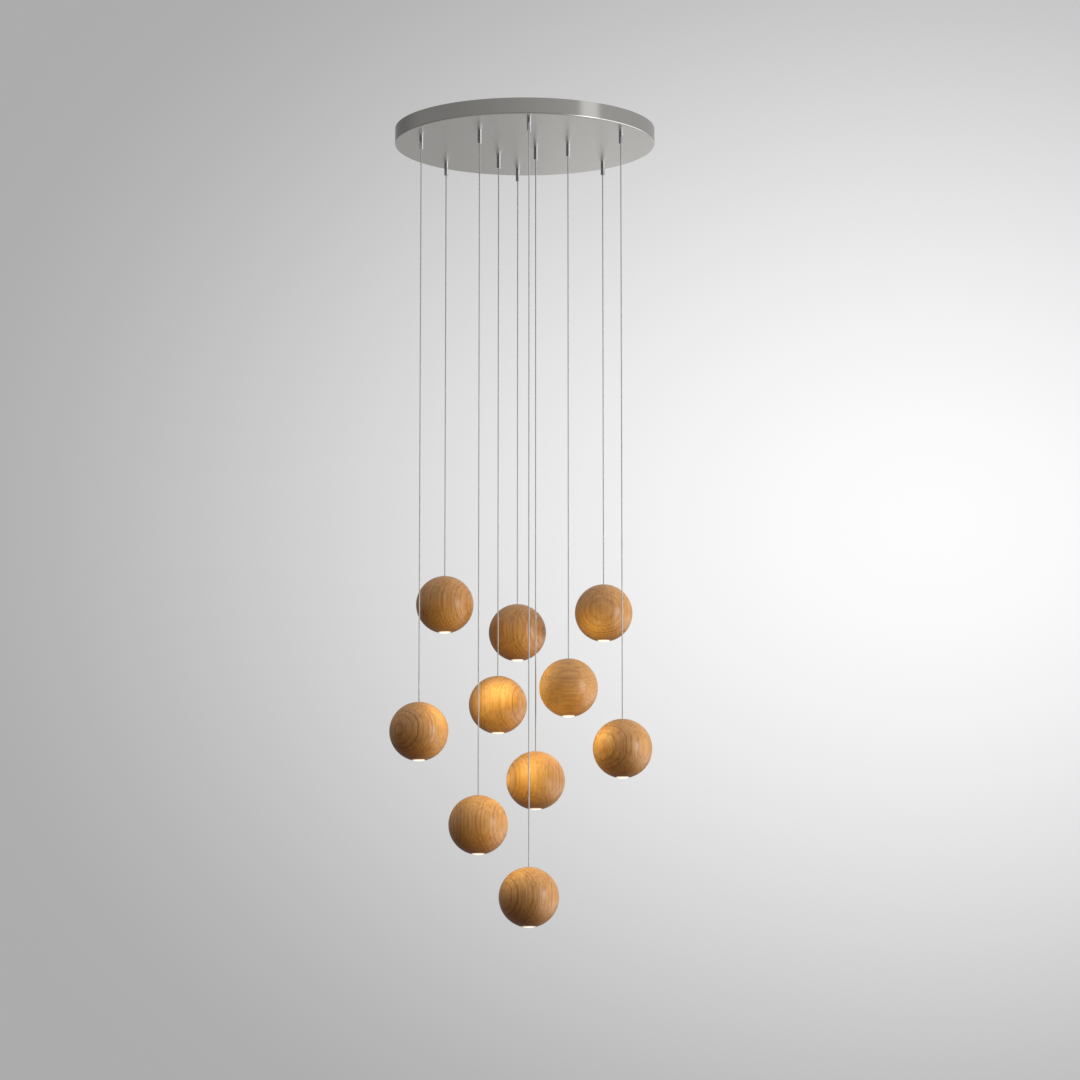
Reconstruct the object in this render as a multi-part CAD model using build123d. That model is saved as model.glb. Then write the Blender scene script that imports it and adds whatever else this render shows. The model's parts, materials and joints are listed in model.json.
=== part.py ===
from build123d import *
import math
import os

# A cluster pendant light: a round metal ceiling canopy, and ten turned wooden balls hung from it on
# thin cords at different drops, each with a small lamp in a bore at its foot.
# Millimetres, +Z up. The origin is the middle of the ceiling plane, and everything hangs below it.

# Canopy pan, pressed from sheet
CANOPY_D = 450.0
CANOPY_H = 28.0
SHEET = 1.5
PAN_EDGE_R = 2.2

# Drop from the canopy's underside to the middle of the lowest ball
LOWEST_DROP = 1320.0

# Pendants from left to right: X and Y on the canopy, and how far the ball hangs above the lowest one
PENDANTS = [
    (-178.0, -63.0, 290.0),
    (-139.0, 133.0, 534.0),
    (-77.0, -104.0, 128.0),
    (-46.0, 78.0, 352.0),
    (-13.0, 177.0, 491.0),
    (8.0, -192.0, 0.0),
    (19.0, 15.0, 215.0),
    (75.0, -8.0, 371.0),
    (137.0, 131.0, 519.0),
    (165.0, -99.0, 257.0),
]

# Cord, and the room round it in each hole that it passes
CORD_D = 2.0
CORD_CLEARANCE = 0.3
CORD_END_GAP = 0.3

# Cord grips, turned from bar, each with a stud through the pan, a nut and a clamping screw
GRIP_D = 7.0
GRIP_L = 22.0
GRIP_EDGE = 0.4
GRIP_MOUTH_D = 4.6
GRIP_STUD_D = 5.0
GRIP_STUD_PROUD = 1.0
GRIP_NUT_FLATS = 8.0
GRIP_NUT_H = 4.0
GRIP_SCREW_D = 2.5
GRIP_SCREW_UP = 8.0
GRIP_SCREW_BITE = 0.1

# Clearances of screws in plain holes (all round), in tapped holes, and of sliding fits, and how far a
# drill runs past the face that it opens
HOLE_CLEARANCE = 0.2
THREAD_CLEARANCE = 0.05
FIT_CLEARANCE = 0.1
DRILL_PAST = 1.0

# Mounting strap, a bent flat bar, with the slots for the ceiling screws and a hole for the supply cable
STRAP_W = 30.0
STRAP_T = 2.0
STRAP_EAR_H = 18.0
STRAP_BEND_R = 2.0
STRAP_TO_RIM = 0.3
SLOT_SPACING = 140.0
SLOT_L = 18.0
SLOT_W = 5.0
CABLE_HOLE_D = 12.0
CABLE_HOLE_X = 20.0

# Screws: rim set screws, and the pan heads that hold the driver, the lead junction and the earth wire
RIM_SCREW_D = 4.0
RIM_SCREW_L = 6.0
RIM_SCREW_DOWN = 11.0
RIM_SCREW_SOCKET_D = 2.0
RIM_SCREW_SOCKET_H = 2.0
SCREW_D = 4.0
SCREW_HEAD_D = 7.0
SCREW_HEAD_H = 2.2
EARTH_SCREW_X = 112.0

# Lead junction, a round moulded terminal under the strap, and the driver, out against the strap's left ear
JUNCTION_X = -30.0
JUNCTION_D = 44.0
JUNCTION_H = 15.0
JUNCTION_EDGE = 1.5
JUNCTION_POCKET = 6.0
DRIVER_TO_BEND = 4.0
DRIVER_L = 92.0
DRIVER_W = 38.0
DRIVER_H = 16.0
DRIVER_EDGE = 2.0
DRIVER_EAR_L = 10.0
DRIVER_EAR_W = 16.0
DRIVER_EAR_T = 2.5
DRIVER_LEAD_D = 3.0
DRIVER_LEAD_DOWN = 11.0
DRIVER_LEAD_BITE = 5.0

# Inner leads: each cord goes on through its grip and turns towards the junction
LEAD_RISE = 1.0
LEAD_TURN_R = 11.0

# Balls, turned from wood, with the lamp bore, the stop bore above it and the cord hole at the top
BALL_D = 100.0
LAMP_BORE_D = 25.0
LAMP_BORE_EDGE = 0.8
LAMP_BORE_DEPTH = 34.0
STOP_BORE_D = 8.2
STOP_DOWN = 26.0

# Cord stop, crimped on the cord, which carries the ball by its collar and lets it turn
STOP_COLLAR_D = 7.6
STOP_COLLAR_H = 3.0
STOP_BARREL_D = 5.0
STOP_BARREL_H = 8.0
STOP_GAP = 0.1

# Lamp: an aluminium cup with the light-emitting board on its floor and a domed diffuser pressed in
LAMP_RIM_IN = 1.6
LAMP_GROOVE_W = 3.0
LAMP_GROOVE_DEPTH = 3.0
LAMP_GROOVE_DOWN = 6.0
LAMP_CORD_DEPTH = 4.0
BOARD_D = 20.0
BOARD_T = 1.6
CHIP_D = 9.0
CHIP_T = 0.7
BOARD_POCKET_H = 3.4
DIFFUSER_D = 21.6
DIFFUSER_SEAT_H = 4.0
DIFFUSER_PROUD = 2.2
DIFFUSER_CROWN = 1.8

# Levels and places worked out from these sizes
UNDERSIDE_Z = -CANOPY_H
PAN_FLOOR_Z = UNDERSIDE_Z + SHEET
STRAP_UNDER_Z = -STRAP_T
CANOPY_R = CANOPY_D / 2
RIM_INNER_R = CANOPY_R - SHEET
STRAP_END_X = math.sqrt(RIM_INNER_R**2 - (STRAP_W / 2) ** 2) - STRAP_TO_RIM
STRAP_FLAT_X = STRAP_END_X - STRAP_T - STRAP_BEND_R
CORD_HOLE_R = CORD_D / 2 + CORD_CLEARANCE
GRIP_FOOT_Z = UNDERSIDE_Z - GRIP_L
GRIP_THROAT_Z = GRIP_FOOT_Z + GRIP_MOUTH_D / 2 - CORD_HOLE_R
STUD_TOP_Z = PAN_FLOOR_Z + GRIP_NUT_H + GRIP_STUD_PROUD
LEAD_Z = STUD_TOP_Z + LEAD_RISE + LEAD_TURN_R
JUNCTION_FOOT_Z = STRAP_UNDER_Z - JUNCTION_H
DRIVER_X = DRIVER_TO_BEND + DRIVER_EAR_L + DRIVER_L / 2 - STRAP_FLAT_X
DRIVER_END_X = DRIVER_X + DRIVER_L / 2
DRIVER_SCREW_OUT = DRIVER_L / 2 + DRIVER_EAR_L / 2
DRIVER_SCREWS_X = (DRIVER_X - DRIVER_SCREW_OUT, DRIVER_X + DRIVER_SCREW_OUT)
BALL_R = BALL_D / 2
LAMP_R = LAMP_BORE_D / 2 - FIT_CLEARANCE
DIFFUSER_R = DIFFUSER_D / 2
MOUTH_R = LAMP_BORE_D / 2 + LAMP_BORE_EDGE
MOUTH_Z = -math.sqrt(BALL_R**2 - MOUTH_R**2)
LAMP_TOP_Z = MOUTH_Z + LAMP_BORE_DEPTH
LAMP_RIM_Z = MOUTH_Z + LAMP_RIM_IN
DIFFUSER_SEAT_Z = LAMP_RIM_Z + DIFFUSER_SEAT_H
BOARD_SEAT_Z = DIFFUSER_SEAT_Z + BOARD_POCKET_H
STOP_SEAT_Z = BALL_R - STOP_DOWN
CORD_END_Z = LAMP_TOP_Z - LAMP_CORD_DEPTH + CORD_END_GAP


def turned(*outline):
    """One solid turned about Z, from an outline of lines and curves in radius and height."""
    return revolve(make_face(Plane.XZ * Curve(list(outline))), Axis.Z)


def turned_steps(*points):
    """One solid turned about Z, from a straight-sided outline of (radius, height) points."""
    return revolve(make_face(Plane.XZ * Polyline(*points, close=True)), Axis.Z)


def upright(diameter, low, high, x=0.0, y=0.0):
    """A round bar along Z between two heights."""
    return Pos(x, y, (low + high) / 2) * Cylinder(diameter / 2, high - low)


def along_x(diameter, low, high, y=0.0, z=0.0):
    """A round bar along X between two places."""
    return Pos((low + high) / 2, y, z) * Rot(0, 90, 0) * Cylinder(diameter / 2, high - low)


def lead_angle(x, y):
    """The direction, in degrees, in which a pendant lies from the lead junction."""
    return math.degrees(math.atan2(y, x - JUNCTION_X))


def canopy_pan():
    """The spun pan, open to the ceiling, with its cord holes and the two rim holes for the set screws."""
    section = Polyline(
        (0, UNDERSIDE_Z),
        (CANOPY_R, UNDERSIDE_Z),
        (CANOPY_R, 0),
        (RIM_INNER_R, 0),
        (RIM_INNER_R, PAN_FLOOR_Z),
        (0, PAN_FLOOR_Z),
        close=True,
    )
    face = make_face(section)
    outer = face.vertices().sort_by_distance((CANOPY_R, UNDERSIDE_Z))[0]
    face = fillet([outer], PAN_EDGE_R)
    inner = face.vertices().sort_by_distance((RIM_INNER_R, PAN_FLOOR_Z))[0]
    face = fillet([inner], max(PAN_EDGE_R - SHEET, SHEET / 4))
    pan = revolve(Plane.XZ * face, Axis.Z)
    for x, y, _ in PENDANTS:
        stud_hole_d = GRIP_STUD_D + 2 * HOLE_CLEARANCE
        pan -= upright(stud_hole_d, UNDERSIDE_Z - DRILL_PAST, PAN_FLOOR_Z + DRILL_PAST, x, y)
    for side in (-1, 1):
        rim_hole = along_x(RIM_SCREW_D + 2 * HOLE_CLEARANCE, RIM_INNER_R - DRILL_PAST, CANOPY_R + DRILL_PAST)
        pan -= Rot(0, 0, 90 - 90 * side) * Pos(0, 0, -RIM_SCREW_DOWN) * rim_hole
    return pan


def mounting_strap():
    """The bent bar that is screwed to the ceiling, with tapped ears that the pan's set screws enter."""
    inner_x = STRAP_END_X - STRAP_T
    section = Polyline(
        (-STRAP_END_X, -STRAP_EAR_H),
        (-STRAP_END_X, 0),
        (STRAP_END_X, 0),
        (STRAP_END_X, -STRAP_EAR_H),
        (inner_x, -STRAP_EAR_H),
        (inner_x, STRAP_UNDER_Z),
        (-inner_x, STRAP_UNDER_Z),
        (-inner_x, -STRAP_EAR_H),
        close=True,
    )
    face = make_face(section)
    for side in (-1, 1):
        outer = face.vertices().sort_by_distance((side * STRAP_END_X, 0))[0]
        face = fillet([outer], STRAP_BEND_R + STRAP_T)
        inner = face.vertices().sort_by_distance((side * inner_x, STRAP_UNDER_Z))[0]
        face = fillet([inner], STRAP_BEND_R)
    strap = extrude(Plane.XZ * face, STRAP_W / 2, both=True)
    for side in (-1, 1):
        slot = extrude(SlotOverall(SLOT_L, SLOT_W), STRAP_T, both=True)
        strap -= Pos(side * SLOT_SPACING / 2, 0, -STRAP_T / 2) * slot
        ear_hole = along_x(RIM_SCREW_D + 2 * THREAD_CLEARANCE, inner_x - DRILL_PAST, STRAP_END_X + DRILL_PAST)
        strap -= Rot(0, 0, 90 - 90 * side) * Pos(0, 0, -RIM_SCREW_DOWN) * ear_hole
    for x in (*DRIVER_SCREWS_X, JUNCTION_X, EARTH_SCREW_X):
        strap -= upright(SCREW_D + 2 * THREAD_CLEARANCE, STRAP_UNDER_Z - DRILL_PAST, DRILL_PAST, x)
    strap -= upright(CABLE_HOLE_D, STRAP_UNDER_Z - DRILL_PAST, DRILL_PAST, CABLE_HOLE_X)
    return strap


def rim_set_screws():
    """Two headless screws with a socket, flush with the rim, through the pan and into the strap's ears."""
    screws = []
    for side in (-1, 1):
        screw = along_x(RIM_SCREW_D, CANOPY_R - RIM_SCREW_L, CANOPY_R)
        screw -= along_x(RIM_SCREW_SOCKET_D, CANOPY_R - RIM_SCREW_SOCKET_H, CANOPY_R + RIM_SCREW_SOCKET_H)
        screws.append(Rot(0, 0, 90 - 90 * side) * Pos(0, 0, -RIM_SCREW_DOWN) * screw)
    return screws


def cord_grips():
    """The turned grips, with a stud above the shoulder, a flared mouth and a tapped hole for the clamp."""
    grip = turned_steps(
        (CORD_HOLE_R, STUD_TOP_Z),
        (GRIP_STUD_D / 2, STUD_TOP_Z),
        (GRIP_STUD_D / 2, UNDERSIDE_Z),
        (GRIP_D / 2, UNDERSIDE_Z),
        (GRIP_D / 2, GRIP_FOOT_Z + GRIP_EDGE),
        (GRIP_D / 2 - GRIP_EDGE, GRIP_FOOT_Z),
        (GRIP_MOUTH_D / 2, GRIP_FOOT_Z),
        (CORD_HOLE_R, GRIP_THROAT_Z),
    )
    grip -= grip_screw_bar(GRIP_SCREW_D + 2 * THREAD_CLEARANCE, 0, GRIP_D)
    return [Pos(x, y, 0) * grip for x, y, _ in PENDANTS]


def grip_screw_bar(diameter, inner, outer):
    """A bar along +Y at the clamping screw's height, between two distances from the cord's middle."""
    height = GRIP_FOOT_Z + GRIP_SCREW_UP
    return Pos(0, (inner + outer) / 2, height) * Rot(90, 0, 0) * Cylinder(diameter / 2, outer - inner)


def grip_screws():
    """The headless clamping screws, on the side of each grip that faces away from the room."""
    screw = grip_screw_bar(GRIP_SCREW_D, CORD_D / 2 + GRIP_SCREW_BITE, GRIP_D / 2 - GRIP_SCREW_BITE)
    return [Pos(x, y, 0) * screw for x, y, _ in PENDANTS]


def grip_nuts():
    """The hexagon nuts on the studs, inside the pan."""
    hexagon = RegularPolygon(GRIP_NUT_FLATS / 2, 6, major_radius=False)
    nut = Pos(0, 0, PAN_FLOOR_Z) * extrude(hexagon, GRIP_NUT_H)
    nut -= upright(GRIP_STUD_D + 2 * THREAD_CLEARANCE, PAN_FLOOR_Z - DRILL_PAST, STUD_TOP_Z + DRILL_PAST)
    return [Pos(x, y, 0) * nut for x, y, _ in PENDANTS]


def lead_junction():
    """The round terminal under the strap, with a pocket for each pendant's lead and for the driver's."""
    radius = JUNCTION_D / 2
    body = turned_steps(
        (SCREW_D / 2 + HOLE_CLEARANCE, STRAP_UNDER_Z),
        (radius, STRAP_UNDER_Z),
        (radius, JUNCTION_FOOT_Z + JUNCTION_EDGE),
        (radius - JUNCTION_EDGE, JUNCTION_FOOT_Z),
        (SCREW_D / 2 + HOLE_CLEARANCE, JUNCTION_FOOT_Z),
    )
    pocket = along_x(2 * CORD_HOLE_R, radius - JUNCTION_POCKET, radius + JUNCTION_POCKET)
    for x, y, _ in PENDANTS:
        body -= Rot(0, 0, lead_angle(x, y)) * Pos(0, 0, LEAD_Z) * pocket
    driver_pocket = along_x(
        DRIVER_LEAD_D + 2 * CORD_CLEARANCE, -radius - JUNCTION_POCKET, JUNCTION_POCKET - radius
    )
    body -= Pos(0, 0, -DRIVER_LEAD_DOWN) * driver_pocket
    return Pos(JUNCTION_X, 0, 0) * body


def led_driver():
    """The driver's moulded case under the strap, with a screw ear at each end and a hole for its lead."""
    case = Pos(DRIVER_X, 0, STRAP_UNDER_Z - DRIVER_H / 2) * Box(DRIVER_L, DRIVER_W, DRIVER_H)
    case = fillet(case.edges().filter_by(Axis.Z), DRIVER_EDGE)
    for side, x in zip((-1, 1), DRIVER_SCREWS_X):
        ear = Pos(x - side * DRIVER_EDGE / 2, 0, STRAP_UNDER_Z - DRIVER_EAR_T / 2) * Box(
            DRIVER_EAR_L + DRIVER_EDGE, DRIVER_EAR_W, DRIVER_EAR_T
        )
        case += ear
        ear_foot_z = STRAP_UNDER_Z - DRIVER_EAR_T
        case -= upright(SCREW_D + 2 * HOLE_CLEARANCE, ear_foot_z - DRILL_PAST, STRAP_UNDER_Z + DRILL_PAST, x)
    case -= along_x(
        DRIVER_LEAD_D + 2 * CORD_CLEARANCE,
        DRIVER_END_X - JUNCTION_POCKET,
        DRIVER_END_X + JUNCTION_POCKET,
        z=-DRIVER_LEAD_DOWN,
    )
    return case


def bracket_screws():
    """The pan-head screws up into the strap: two for the driver, the junction's and the earth screw."""
    heads = [(x, STRAP_UNDER_Z - DRIVER_EAR_T) for x in DRIVER_SCREWS_X]
    heads += [(JUNCTION_X, JUNCTION_FOOT_Z), (EARTH_SCREW_X, STRAP_UNDER_Z)]
    screws = []
    for x, seat in heads:
        head = upright(SCREW_HEAD_D, seat - SCREW_HEAD_H, seat, x)
        head = fillet(head.edges().group_by(Axis.Z)[0], SCREW_HEAD_H / 2)
        screws.append(head + upright(SCREW_D, seat - SCREW_HEAD_H / 2, -FIT_CLEARANCE, x))
    return screws


def inner_leads():
    """The cords' inner ends, up through the grips and over to the junction, and the driver's own lead."""
    reach = JUNCTION_D / 2 - JUNCTION_POCKET + CORD_END_GAP
    leads = []
    for x, y, _ in PENDANTS:
        angle = math.radians(lead_angle(x, y))
        end_x = JUNCTION_X + reach * math.cos(angle)
        end_y = reach * math.sin(angle)
        start = (x, y, GRIP_THROAT_Z + CORD_END_GAP)
        path = FilletPolyline(start, (x, y, LEAD_Z), (end_x, end_y, LEAD_Z), radius=LEAD_TURN_R)
        leads.append(sweep(Plane(start) * Circle(CORD_D / 2), path))
    driver_lead = along_x(
        DRIVER_LEAD_D,
        DRIVER_END_X - DRIVER_LEAD_BITE,
        JUNCTION_X - JUNCTION_D / 2 + DRIVER_LEAD_BITE,
        z=-DRIVER_LEAD_DOWN,
    )
    return leads + [driver_lead]


def cord(ball_z):
    """The free cord, straight from the grip's throat through the ball's stop to the top of the lamp."""
    return upright(CORD_D, ball_z + CORD_END_Z, GRIP_THROAT_Z)


def ball():
    """The wooden ball about its own middle, bored from below and with a fine hole at the top for the cord."""
    top = (CORD_HOLE_R, math.sqrt(BALL_R**2 - CORD_HOLE_R**2))
    mouth = (MOUTH_R, MOUTH_Z)
    bore_r = LAMP_BORE_D / 2
    return turned(
        ThreePointArc(top, (BALL_R, 0), mouth),
        Polyline(
            mouth,
            (bore_r, MOUTH_Z + LAMP_BORE_EDGE),
            (bore_r, LAMP_TOP_Z),
            (STOP_BORE_D / 2, LAMP_TOP_Z),
            (STOP_BORE_D / 2, STOP_SEAT_Z),
            (CORD_HOLE_R, STOP_SEAT_Z),
            top,
        ),
    )


def cord_stop():
    """The crimped stop about the ball's middle: a collar under the ball's shoulder and a barrel below it."""
    collar_top = STOP_SEAT_Z - STOP_GAP
    collar_foot = collar_top - STOP_COLLAR_H
    return turned_steps(
        (CORD_HOLE_R, collar_top),
        (STOP_COLLAR_D / 2, collar_top),
        (STOP_COLLAR_D / 2, collar_foot),
        (STOP_BARREL_D / 2, collar_foot),
        (STOP_BARREL_D / 2, collar_foot - STOP_BARREL_H),
        (CORD_HOLE_R, collar_foot - STOP_BARREL_H),
    )


def lamp_core():
    """The lamp's aluminium cup about the ball's middle, and the board with its chip on the cup's floor."""
    seat_r = DIFFUSER_R + FIT_CLEARANCE
    pocket_r = BOARD_D / 2 + FIT_CLEARANCE
    groove_top = LAMP_TOP_Z - LAMP_GROOVE_DOWN
    groove_foot = groove_top - LAMP_GROOVE_W
    cup = turned_steps(
        (0, LAMP_TOP_Z - LAMP_CORD_DEPTH),
        (CORD_HOLE_R, LAMP_TOP_Z - LAMP_CORD_DEPTH),
        (CORD_HOLE_R, LAMP_TOP_Z),
        (LAMP_R, LAMP_TOP_Z),
        (LAMP_R, groove_top),
        (LAMP_R - LAMP_GROOVE_DEPTH, groove_top),
        (LAMP_R - LAMP_GROOVE_DEPTH, groove_foot),
        (LAMP_R, groove_foot),
        (LAMP_R, LAMP_RIM_Z),
        (seat_r, LAMP_RIM_Z),
        (seat_r, DIFFUSER_SEAT_Z),
        (pocket_r, DIFFUSER_SEAT_Z),
        (pocket_r, BOARD_SEAT_Z),
        (0, BOARD_SEAT_Z),
    )
    board = upright(BOARD_D, BOARD_SEAT_Z - BOARD_T, BOARD_SEAT_Z)
    board += upright(CHIP_D, BOARD_SEAT_Z - BOARD_T - CHIP_T, BOARD_SEAT_Z - BOARD_T)
    return [cup, board]


def diffuser():
    """The frosted lens about the ball's middle, pressed into the cup, with a shallow domed face."""
    edge_z = MOUTH_Z - DIFFUSER_PROUD + DIFFUSER_CROWN
    crown_z = MOUTH_Z - DIFFUSER_PROUD
    dome_r = (DIFFUSER_R**2 + DIFFUSER_CROWN**2) / (2 * DIFFUSER_CROWN)
    half_r = DIFFUSER_R / 2
    half_z = crown_z + dome_r - math.sqrt(dome_r**2 - half_r**2)
    return turned(
        Polyline((0, crown_z), (0, DIFFUSER_SEAT_Z), (DIFFUSER_R, DIFFUSER_SEAT_Z), (DIFFUSER_R, edge_z)),
        ThreePointArc((DIFFUSER_R, edge_z), (half_r, half_z), (0, crown_z)),
    )


def write(node, solids):
    """Writes one node, which holds one solid or a group of separate ones."""
    solids = solids if isinstance(solids, list) else [solids]
    shapes = [solid for shape in solids for solid in shape.solids()]
    export_step(shapes[0] if len(shapes) == 1 else Compound(shapes), f"parts/{node}.step")


os.makedirs("parts", exist_ok=True)

write("canopy_pan", canopy_pan())
write("mounting_strap", mounting_strap())
write("rim_set_screws", rim_set_screws())
write("cord_grips", cord_grips())
write("grip_nuts", grip_nuts())
write("grip_screws", grip_screws())
write("lead_junction", lead_junction())
write("led_driver", led_driver())
write("bracket_screws", bracket_screws())
write("inner_leads", inner_leads())

ball_shape = ball()
stop_shape = cord_stop()
lamp_shapes = lamp_core()
diffuser_shape = diffuser()
for number, (x, y, rise) in enumerate(PENDANTS, start=1):
    ball_z = UNDERSIDE_Z - LOWEST_DROP + rise
    middle = Pos(x, y, ball_z)
    write(f"cord_{number:02d}", Pos(x, y, 0) * cord(ball_z))
    write(f"cord_stop_{number:02d}", middle * stop_shape)
    write(f"ball_{number:02d}", middle * ball_shape)
    write(f"lamp_core_{number:02d}", [middle * shape for shape in lamp_shapes])
    write(f"diffuser_{number:02d}", middle * diffuser_shape)
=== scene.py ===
"""The looks of a cluster pendant light: a satin metal canopy, and turned wooden balls on thin cords.

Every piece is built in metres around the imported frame. The canopy's pan, the cord grips, the balls, the
lenses, the cords and the inner leads are modelled here. The other nodes keep their shape and get a finish.
"""

import json
import logging
import math
from dataclasses import dataclass
from enum import Enum
from typing import Any

import bmesh
import bpy
from mathutils import Matrix, Vector


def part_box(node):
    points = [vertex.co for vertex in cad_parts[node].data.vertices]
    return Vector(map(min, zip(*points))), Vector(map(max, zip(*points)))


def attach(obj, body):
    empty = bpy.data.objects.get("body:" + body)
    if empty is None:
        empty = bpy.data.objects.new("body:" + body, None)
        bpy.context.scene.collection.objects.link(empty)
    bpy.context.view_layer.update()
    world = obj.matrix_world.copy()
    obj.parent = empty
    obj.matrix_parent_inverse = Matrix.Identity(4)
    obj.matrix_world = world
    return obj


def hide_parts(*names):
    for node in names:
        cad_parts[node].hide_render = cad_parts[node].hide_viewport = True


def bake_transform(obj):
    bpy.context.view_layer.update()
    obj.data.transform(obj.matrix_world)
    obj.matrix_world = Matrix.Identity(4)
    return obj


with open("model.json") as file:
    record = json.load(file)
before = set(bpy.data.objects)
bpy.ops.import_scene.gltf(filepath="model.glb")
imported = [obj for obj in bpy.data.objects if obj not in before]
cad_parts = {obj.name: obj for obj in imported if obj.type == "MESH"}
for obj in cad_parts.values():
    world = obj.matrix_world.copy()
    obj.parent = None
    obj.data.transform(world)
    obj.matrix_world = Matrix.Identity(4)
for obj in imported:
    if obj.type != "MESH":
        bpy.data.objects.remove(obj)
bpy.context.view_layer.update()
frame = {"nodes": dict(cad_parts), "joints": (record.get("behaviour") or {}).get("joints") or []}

Node = bpy.types.Node
Tree = bpy.types.NodeTree
Material = bpy.types.Material
Mesh = bpy.types.Mesh
Piece = bpy.types.Object
Socket = bpy.types.NodeSocket
Shape = bmesh.types.BMesh
Edge = bmesh.types.BMEdge
Vertex = bmesh.types.BMVert
Colour = tuple[float, float, float, float]
Triple = tuple[float, float, float]
Span = tuple[float, float]

LOG = logging.getLogger("cluster_pendant")
MM = 0.001
SMOOTH_ANGLE = math.radians(35)
# How many faces a small rounded edge has across, and a drilled hole around
EDGE_FACES = 3
HOLE_SIDES = 48
# Where nearly all of a noise's values lie
NOISE_SPAN = (0.3, 0.7)
# The setting of a change that sets in and ends softly
SOFT = {"interpolation_type": "SMOOTHSTEP"}


class Slot(Enum):
    """The record's material slots that the modelled pieces have."""

    NICKEL = "satin_nickel"
    CHROME = "polished_chrome"
    SHEATH = "cord_sheath"
    WOOD = "ball_wood"
    LENS = "frosted_diffuser"


class LightKind(Enum):
    """The two kinds of light: a flat one, and a small round one that shines all ways."""

    FLAT = "AREA"
    ROUND = "POINT"


def linear(colour: str) -> Colour:
    """Turns an sRGB hex colour to linear light.

    Args:
        colour: six hex digits after a hash sign.

    Returns:
        Red, green, blue and an alpha of 1.
    """
    channels = [int(colour[start:start + 2], 16) / 255 for start in (1, 3, 5)]
    red, green, blue = (
        channel / 12.92 if channel <= 0.04045 else ((channel + 0.055) / 1.055) ** 2.4 for channel in channels
    )
    return red, green, blue, 1.0


def set_inputs(tree: Tree, node: Node, inputs: dict[Any, Any]) -> None:
    """Sets or links a node's inputs.

    Args:
        tree: the node's tree.
        node: the node.
        inputs: for an input's name or number, its value, the output that it is linked to, or a node, to be
            linked to that node's first output in use.
    """
    for key, value in inputs.items():
        if isinstance(value, Node):
            value = next(output for output in value.outputs if output.enabled)
        if isinstance(value, Socket):
            tree.links.new(value, node.inputs[key])
        else:
            node.inputs[key].default_value = value


def add_node(
    tree: Tree, kind: str, *values: Any, inputs: dict[Any, Any] | None = None, **settings: Any
) -> Node:
    """Adds a node with its settings, and sets or links its inputs.

    Args:
        tree: the node tree that gets the node.
        kind: the node's type, without its first word.
        values: what its first inputs get, in order.
        inputs: what other inputs get, by their names or numbers.
        settings: the node's own properties.

    Returns:
        The new node.
    """
    node = tree.nodes.new(f"ShaderNode{kind}")
    for name, value in settings.items():
        setattr(node, name, value)
    set_inputs(tree, node, dict(enumerate(values)) | (inputs or {}))
    return node


def set_stops(ramp: Node, stops: list[tuple[float, Colour]]) -> None:
    """Gives a colour ramp its stops.

    Args:
        ramp: the colour ramp node.
        stops: each stop's place and linear colour, in order.
    """
    elements = ramp.color_ramp.elements
    while len(elements) < len(stops):
        elements.new(1.0)
    for element, (place, colour) in zip(elements, stops):
        element.position = place
        element.color = colour


def new_material(name: str) -> tuple[Material, Tree, Node]:
    """Makes a plain material with nodes.

    Args:
        name: the material's name.

    Returns:
        The material, its node tree and its shader.
    """
    material = bpy.data.materials.new(name)
    material.use_nodes = True
    tree = material.node_tree
    return material, tree, tree.nodes["Principled BSDF"]


@dataclass(frozen=True)
class Finish:
    """An even finish with a fine grain: plate, turned or drawn metal, or moulded plastic."""

    name: str
    pale: str
    dark: str
    metallic: float
    roughness: float
    roughness_spread: float
    grain_mm: float
    stretch: Triple = (1.0, 1.0, 1.0)
    bump_mm: float = 0.0
    detail: float = 4.0

    def material(self) -> Material:
        """Builds the node material.

        Returns:
            A material whose colour, roughness and bump follow one noise in object coordinates.
        """
        material, tree, shader = new_material(self.name)
        place = add_node(tree, "TexCoord").outputs["Object"]
        scale = [1 / (self.grain_mm * MM * stretch) for stretch in self.stretch]
        fitted = add_node(tree, "Mapping", place, inputs={"Scale": scale})
        grain = add_node(tree, "TexNoise", fitted, inputs={"Scale": 1.0, "Detail": self.detail})
        colour = add_node(tree, "ValToRGB", grain)
        set_stops(colour, list(zip(NOISE_SPAN, (linear(self.dark), linear(self.pale)))))
        roughest = self.roughness + self.roughness_spread / 2
        smoothest = self.roughness - self.roughness_spread / 2
        rough = add_node(tree, "MapRange", grain, *NOISE_SPAN, roughest, smoothest)
        set_inputs(tree, shader, {"Metallic": self.metallic, "Base Color": colour, "Roughness": rough})
        if self.bump_mm:
            bump = add_node(tree, "Bump", inputs={"Height": grain, "Distance": self.bump_mm * MM})
            set_inputs(tree, shader, {"Normal": bump})
        return material


# Pressed steel with a satin nickel plate: a soft grey metal, whose fine matt grain blurs what it mirrors
SATIN_NICKEL = Finish("satin_nickel_plate", "#C4C2BE", "#BAB8B4", 1.0, 0.36, 0.05, 2.2, bump_mm=0.002)
# The same plate on the pan's wall, where the spinning left it smoother, so that its mirror images have edges
SPUN_NICKEL = Finish("spun_nickel_plate", "#C4C2BE", "#BAB8B4", 1.0, 0.16, 0.04, 0.8, (1.0, 1.0, 0.2))
# Turned brass with a polished chrome plate: a hard bright mirror, with only faint polishing marks
POLISHED_CHROME = Finish("polished_chrome_plate", "#CFD0D2", "#C6C7CA", 1.0, 0.10, 0.05, 1.2)
# Steel strip with bright zinc plate: bluish and a little cloudy
BRIGHT_ZINC = Finish("bright_zinc_plate", "#BFC3C6", "#A2A7AB", 1.0, 0.34, 0.12, 7.0)
# Plain machine screws and nuts: grey steel, rubbed brighter in places
SCREW_STEEL = Finish("bright_steel", "#B4B3B0", "#94938F", 1.0, 0.28, 0.10, 1.5)
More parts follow.
